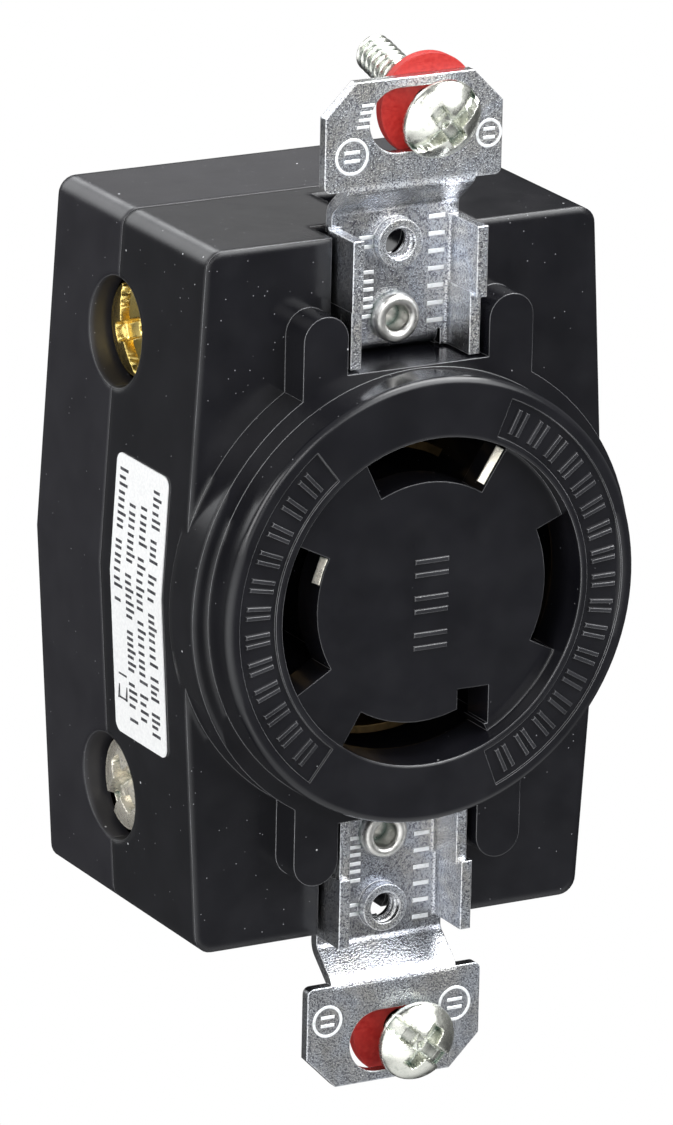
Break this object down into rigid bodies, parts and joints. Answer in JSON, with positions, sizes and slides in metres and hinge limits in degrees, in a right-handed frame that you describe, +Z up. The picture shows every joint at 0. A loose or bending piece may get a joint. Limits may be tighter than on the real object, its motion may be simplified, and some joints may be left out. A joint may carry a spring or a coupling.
{
  "type": "flush mounting locking receptacle",
  "caption": "Flush-mounting locking power receptacle: black two-part body, round face with curved blade slots, channel straps with ears, captive screws and side clamp terminals.",
  "frame": {"origin": "on the axis of the round face, in the plane of the mounting ears' back surfaces, where the device meets the wall", "axes": "+Z up along the line of the two mounting slots, -Y out of the face towards the plug, +X to the right as seen from the front"},
  "size_m": [0.043, 0.0344, 0.0932],
  "materials": {
    "black_moulding": "glossy moulded black with a slight orange peel",
    "zinc_strap": "bright zinc plating with a fine grain",
    "rivet_metal": "dull nickel plating",
    "contact_brass": "rolled brass",
    "red_fibre": "matt red",
    "box_screw_zinc": "pale yellowish zinc plating",
    "terminal_brass": "bright brass",
    "terminal_nickel": "nickel plating",
    "clamp_brass": "rolled brass",
    "label_paper": "satin white label stock"
  },
  "bodies": {
    "receptacle": {"front_housing": "black_moulding", "rear_cover": "black_moulding", "strap_top": "zinc_strap", "strap_bottom": "zinc_strap", "body_rivets": "rivet_metal", "contact_top": "contact_brass", "contact_right": "contact_brass", "contact_bottom": "contact_brass", "contact_left": "contact_brass", "rating_label": "label_paper"},
    "washer_top": {"washer_top": "red_fibre"},
    "washer_bottom": {"washer_bottom": "red_fibre"},
    "mounting_screw_top": {"mounting_screw_top": "box_screw_zinc"},
    "mounting_screw_bottom": {"mounting_screw_bottom": "box_screw_zinc"},
    "terminal_screw_upper_left": {"terminal_screw_upper_left": "terminal_brass"},
    "clamp_plate_upper_left": {"clamp_plate_upper_left": "clamp_brass"},
    "terminal_screw_upper_right": {"terminal_screw_upper_right": "terminal_brass"},
    "clamp_plate_upper_right": {"clamp_plate_upper_right": "clamp_brass"},
    "terminal_screw_lower_right": {"terminal_screw_lower_right": "terminal_brass"},
    "clamp_plate_lower_right": {"clamp_plate_lower_right": "clamp_brass"},
    "terminal_screw_lower_left": {"terminal_screw_lower_left": "terminal_nickel"},
    "clamp_plate_lower_left": {"clamp_plate_lower_left": "clamp_brass"}
  },
  "joints": [
    {"name": "top_screw_shift", "type": "slide", "parent": "receptacle", "child": "washer_top", "axis": [1, 0, 0], "range_m": [-0.0041, 0.00035]},
    {"name": "top_screw_turn", "type": "hinge", "parent": "washer_top", "child": "mounting_screw_top", "pos_m": [0.0019, -0.0005, 0.04215], "axis": [0, 0.9703, 0.2419], "continuous": true},
    {"name": "bottom_screw_shift", "type": "slide", "parent": "receptacle", "child": "washer_bottom", "axis": [1, 0, 0], "range_m": [-0.0044, 0.0006]},
    {"name": "bottom_screw_turn", "type": "hinge", "parent": "washer_bottom", "child": "mounting_screw_bottom", "pos_m": [0.0019, -0.0005, -0.0418], "axis": [0, 0.9945, 0.1045], "continuous": true},
    {"name": "clamp_slide_upper_left", "type": "slide", "parent": "receptacle", "child": "clamp_plate_upper_left", "axis": [-1, 0, 0], "range_m": [0, 0.0031]},
    {"name": "terminal_turn_upper_left", "type": "hinge", "parent": "receptacle", "child": "terminal_screw_upper_left", "pos_m": [-0.0164, 0.016, 0.0207], "axis": [1, 0, 0], "range_deg": [0, 1405.5]},
    {"name": "clamp_slide_upper_right", "type": "slide", "parent": "receptacle", "child": "clamp_plate_upper_right", "axis": [1, 0, 0], "range_m": [0, 0.0031]},
    {"name": "terminal_turn_upper_right", "type": "hinge", "parent": "receptacle", "child": "terminal_screw_upper_right", "pos_m": [0.0164, 0.016, 0.0207], "axis": [-1, 0, 0], "range_deg": [0, 1405.5]},
    {"name": "clamp_slide_lower_right", "type": "slide", "parent": "receptacle", "child": "clamp_plate_lower_right", "axis": [1, 0, 0], "range_m": [0, 0.0031]},
    {"name": "terminal_turn_lower_right", "type": "hinge", "parent": "receptacle", "child": "terminal_screw_lower_right", "pos_m": [0.0164, 0.016, -0.0207], "axis": [-1, 0, 0], "range_deg": [0, 1405.5]},
    {"name": "clamp_slide_lower_left", "type": "slide", "parent": "receptacle", "child": "clamp_plate_lower_left", "axis": [-1, 0, 0], "range_m": [0, 0.0031]},
    {"name": "terminal_turn_lower_left", "type": "hinge", "parent": "receptacle", "child": "terminal_screw_lower_left", "pos_m": [-0.0164, 0.016, -0.0207], "axis": [1, 0, 0], "range_deg": [0, 1405.5]}
  ],
  "couplings": [
    {"joint": "terminal_turn_upper_left", "follows": "clamp_slide_upper_left", "rad_per_m": 7913.3},
    {"joint": "terminal_turn_upper_right", "follows": "clamp_slide_upper_right", "rad_per_m": 7913.3},
    {"joint": "terminal_turn_lower_right", "follows": "clamp_slide_lower_right", "rad_per_m": 7913.3},
    {"joint": "terminal_turn_lower_left", "follows": "clamp_slide_lower_left", "rad_per_m": 7913.3}
  ]
}
